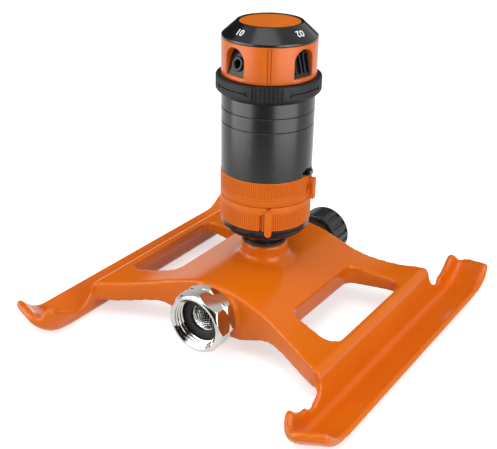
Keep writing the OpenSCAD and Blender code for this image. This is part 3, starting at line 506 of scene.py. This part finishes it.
# ABS from a polished tool: the rings' orange, with a shine that rims the windows
gloss_orange, shader = new_material("glossy_abs_orange")
place = mottled(gloss_orange, shader, "#CE5E08", "#D46610", 18, roughness=(0.24, 0.33), gloss=0.26)
grained(gloss_orange, shader, place, 0.9, 0.015, 0.3)
done(turret, gloss_orange, "turret", "turret", sharp=32)

# Acetal, moulded fine: a soft-edged black that stays readable deep in its window
nozzle_acetal, shader = new_material("black_nozzle_acetal")
place = mottled(nozzle_acetal, shader, "#101113", "#17181B", 6, roughness=(0.3, 0.4), gloss=0.22)
grained(nozzle_acetal, shader, place, 0.6, 0.01, 0.3)
SLOPE = math.degrees(math.atan2(4.4, 15.2))
FACE = (21.8, 157.6)  # radius and height of the middle of the face


def nozzle(name):
    """The block of one nozzle, cut back to its sloping face."""
    made = arch(name, 13.2, 11.1, 150.35, 158.8, 19.1)
    alone(made)
    bpy.ops.object.mode_set(mode="EDIT")
    bpy.ops.mesh.select_all(action="SELECT")
    bpy.ops.mesh.bisect(plane_co=(23.9 * MM, 0, 150.3 * MM),
                        plane_no=(math.cos(math.radians(SLOPE)), 0, math.sin(math.radians(SLOPE))),
                        use_fill=True, clear_outer=True)
    bpy.ops.object.mode_set(mode="OBJECT")
    return eased(made, 0.5, 3, 40)


def on_face(obj, up=0.0):
    """Lays obj, made about +Z, on the sloping face, up mm along it."""
    tilt = math.radians(SLOPE)
    placed(obj, turn=(0, 90 - SLOPE, 0))
    return placed(obj, at=(FACE[0] - up * math.sin(tilt), 0, FACE[1] + up * math.cos(tilt)))


jet = nozzle("nozzle_jet")
cut(jet, on_face(turned("bore", [(POLE, -6), (2.1, -6), (2.1, 3), (POLE, 3)], 48), -1.4))
boss = turned("boss", [(2.1, -1), (3.9, -1), (3.9, 0.9), (3.5, 1.3), (2.6, 1.3), (2.1, 0.7)], 64)
cut(jet, on_face(boss, -1.4), how="UNION")

fan = nozzle("nozzle_fan")
RIDGE_LOW, RIDGE_SPRING = -5.6, 3.2
for width, y in ((5.2, -2.9), (4.4, 3.4)):
    ridge = placed(arch("ridge", width, 3.2, RIDGE_LOW, RIDGE_SPRING, 0), turn=(0, -90, 0))
    groove = arch("groove", width - 2.2, 6, RIDGE_LOW - 1, RIDGE_SPRING, 0)
    cut(ridge, placed(groove, turn=(0, -90, 0)))
    cut(fan, on_face(placed(ridge, at=(0, y, 0))), how="UNION")

shower = nozzle("nozzle_shower")
for y in (-3.4, 0, 3.4):
    for up in (-4, -0.5, 3):
        hole = placed(turned("hole", [(POLE, -4), (0.65, -4), (0.65, 3), (POLE, 3)], 20),
                      at=(0, y, 0))
        cut(shower, on_face(hole, up))

flat = nozzle("nozzle_flat")
cut(flat, on_face(block("lip", (3.4, 9.4, 2.4), (0, 0, 0.2))), how="UNION")
cut(flat, on_face(block("slit", (1.1, 7.6, 8), (0, 0, 0))))

for made, azimuth, node in zip((jet, fan, shower, flat), WINDOW_AZ,
                               ("jet_nozzle", "fan_nozzle", "shower_nozzle", "flat_nozzle")):
    done(placed(made, turn=(0, 0, azimuth)), nozzle_acetal, "turret", node, sharp=32)


# ---------------------------------------------------------------- Dial and insert
# The turret's roof is a polished black cone, numbered over each nozzle in pad-printed white,
# with an orange disc snapped into its top.
dial = turned("dial_cone", [(8.2, 167.5), (25.2, 167.5), (25.6, 167.65), (TURRET_R, 168.0),
                            (TURRET_R, 168.6), (25.5, 168.95), (25.1, 169.35), (18.1, 175.55),
                            (17.8, 175.8), (17.4, 175.9), (16.9, 175.9), (16.65, 175.7),
                            (16.6, 175.3), (16.6, 172.1), (8.2, 172.1)], 180)
# ABS from a polished tool: a clear black cone that mirrors the pale room along its slope
polished_black, shader = new_material("polished_black_abs")
mottled(polished_black, shader, "#0E0F12", "#141518", 16, roughness=(0.16, 0.24), gloss=0.3)
done(dial, polished_black, "turret", "cone_dial", sharp=32)

insert = turned("top_disc", [(POLE, 170.2), (8.1, 170.2), (8.1, 172.15), (16.35, 172.15),
                             (16.35, 175.1), (16.2, 175.35), (15.9, 175.45), (15.4, 175.4),
                             (POLE, 175.4)], 144)
done(insert, abs_orange, "turret", "top_insert", sharp=32)

# Ink, pad printed: a flat cool white that stands a hair proud of the cone
white_ink, shader = new_material("pad_printed_white")
mottled(white_ink, shader, "#DDE3E6", "#F2F5F6", 2, roughness=(0.4, 0.55))
CONE = math.degrees(math.atan2(175.55 - 169.35, 25.1 - 18.1))
for k, azimuth in enumerate(WINDOW_AZ):
    bpy.ops.object.select_all(action="DESELECT")
    bpy.ops.object.text_add()
    text = bpy.context.object
    text.data.body = "0" + str(k + 1)
    text.data.size = 5.2 * MM
    text.data.extrude = 0.05 * MM
    text.data.offset = 0.05 * MM
    text.data.align_x = "CENTER"
    text.data.align_y = "CENTER"
    bpy.ops.object.convert(target="MESH")
    mark = bpy.context.object
    mark.name = "dial_mark_%d" % (k + 1)
    placed(mark, turn=(0, 0, -90))
    placed(mark, turn=(0, CONE, 0), at=(21.35, 0, 172.72))
    done(placed(mark, turn=(0, 0, azimuth)), white_ink, "turret")


# ---------------------------------------------------------------- Works inside
# The gears are natural acetal, their shafts, pins and screw are steel, and the seals are rubber.
# They keep their machined shapes.

# Brass painted a dull dark brown as painted shade, so that it stays dark behind the screen like
# the shaded bore of the inlet
brass, shader = new_material("brass_dark_as_painted_shade")
mottled(brass, shader, "#3B2C1A", "#57432A", 4, roughness=(0.4, 0.55))
shader.inputs["Metallic"].default_value = 1
# Undyed acetal, as machined: a warm milky white
acetal, shader = new_material("natural_acetal")
mottled(acetal, shader, "#DCD8CB", "#E9E5DA", 8, roughness=(0.35, 0.45))
for material, members in (
    (acetal_black, ["stator", "port_plate", "trip_lever"]),
    (satin_nylon, ["gear_housing"]),
    (brass, ["outlet_spigot", "inlet_tailpiece"]),
    (steel, ["central_shaft", "gear_pins", "retaining_ring", "collar_key",
             "turret_washer", "turret_screw"]),
    (rubber, ["neck_seal", "cap_washer", "port_seal"]),
    (acetal, ["output_gear", "turbine", "first_gear", "axis_gear", "last_gear", "gear_plate",
              "flow_disc"]),
):
    for name in members:
        nodes[name].data.materials.clear()
        nodes[name].data.materials.append(material)


# ---------------------------------------------------------------- Floor and light
# A plain floor of white paper and three soft boxes, one high over the camera and one at each
# side. Reflectors and flags near the sprinkler shape what its glossy skins mirror.
bpy.ops.mesh.primitive_plane_add(size=8, location=(0, 0, -0.0003))
floor = bpy.context.object
floor.name = "paper_floor"
# Matt paper: it keeps the soft shadow, and elsewhere is as white as the air around it
paper, shader = new_material("white_paper")
shader.inputs["Base Color"].default_value = linear("#E4E4E4")
shader.inputs["Roughness"].default_value = 0.9
shader.inputs["Specular IOR Level"].default_value = 0


def seen_rays(material):
    """1 where a surface is looked at, straight or in a reflection, and 0 where it lights."""
    rays = add(material, "ShaderNodeLightPath", {})
    seen = add(material, "ShaderNodeMath", {"operation": "MAXIMUM"},
               [(0, rays, "Is Camera Ray"), (1, rays, "Is Glossy Ray")])
    return add(material, "ShaderNodeMath", {"operation": "MAXIMUM"},
               [(0, seen, 0), (1, rays, "Is Transmission Ray")])


PAPER_LIFT, AIR_LIGHT, AIR_SEEN = 0.6, 0.5, 1.0
lift = add(paper, "ShaderNodeMath", {"operation": "MULTIPLY", 1: PAPER_LIFT},
           [(0, seen_rays(paper), 0)])
glow = add(paper, "ShaderNodeEmission", {}, [("Strength", lift, 0)])
both = add(paper, "ShaderNodeAddShader", {}, [(0, shader, 0), (1, glow, 0)])
link(paper, both, 0, paper.node_tree.nodes["Material Output"], "Surface")
floor.data.materials.append(paper)

world = bpy.data.worlds.new("studio_air")
bpy.context.scene.world = world
world.use_nodes = True
air = world.node_tree.nodes["Background"]
level_of_air = add(world, "ShaderNodeMapRange", {"To Min": AIR_LIGHT, "To Max": AIR_SEEN},
                   [("Value", seen_rays(world), 0)])
link(world, level_of_air, "Result", air, "Strength")
air.inputs["Color"].default_value = (1, 1, 1, 1)


def soft_box(name, where, at, width, height, power):
    bpy.ops.object.light_add(type="AREA", location=where)
    lamp = bpy.context.object
    lamp.name = name
    lamp.data.shape = "RECTANGLE"
    lamp.data.size = width
    lamp.data.size_y = height
    lamp.data.energy = power
    lamp.rotation_euler = (Vector(at) - Vector(where)).to_track_quat("-Z", "Y").to_euler()
    return lamp


soft_box("key_box", (0.1, -0.5, 1.3), (0, 0, 0.05), 1.0, 1.0, 9)
soft_box("left_box", (-0.75, -0.75, 0.5), (0, 0, 0.09), 0.35, 1.0, 3.2)
soft_box("right_box", (1.0, -0.25, 0.5), (0, 0, 0.09), 0.35, 1.0, 5)
# Two reflectors that light nothing matt. They draw the long vertical glints on the housing
REFLECTOR_REACH, REFLECTOR_Z = 0.3, 0.2
for name, azimuth in (("left_reflector", -123), ("right_reflector", -12)):
    turn = math.radians(azimuth)
    spot = (REFLECTOR_REACH * math.cos(turn), REFLECTOR_REACH * math.sin(turn), REFLECTOR_Z)
    glint = soft_box(name, spot, (0, 0, REFLECTOR_Z), 0.32, 0.4, 1.9)
    glint.visible_diffuse = False
    glint.visible_camera = False

# Two flags of black felt, seen only in reflections: one between the reflectors darkens the middle
# of the housing, and one behind keeps the white air off the deck and streaks the chrome
felt, shader = new_material("black_felt")
shader.inputs["Base Color"].default_value = linear("#141414")
shader.inputs["Roughness"].default_value = 1
for name, azimuth, reach, height, size in (("front_flag", -66, 0.3, 0.18, (0.24, 0.34, 1)),
                                           ("back_flag", 142, 0.6, 0.5, (1.2, 0.7, 1))):
    turn = math.radians(azimuth)
    bpy.ops.mesh.primitive_plane_add(
        size=1, location=(reach * math.cos(turn), reach * math.sin(turn), height),
        rotation=(math.radians(90), 0, turn + math.radians(90)))
    flag = bpy.context.object
    flag.name = name
    flag.scale = size
    flag.data.materials.append(felt)
    flag.visible_camera = False
    flag.visible_diffuse = False
    flag.visible_shadow = False
    flag.visible_transmission = False
bpy.context.scene.view_settings.view_transform = "Standard"
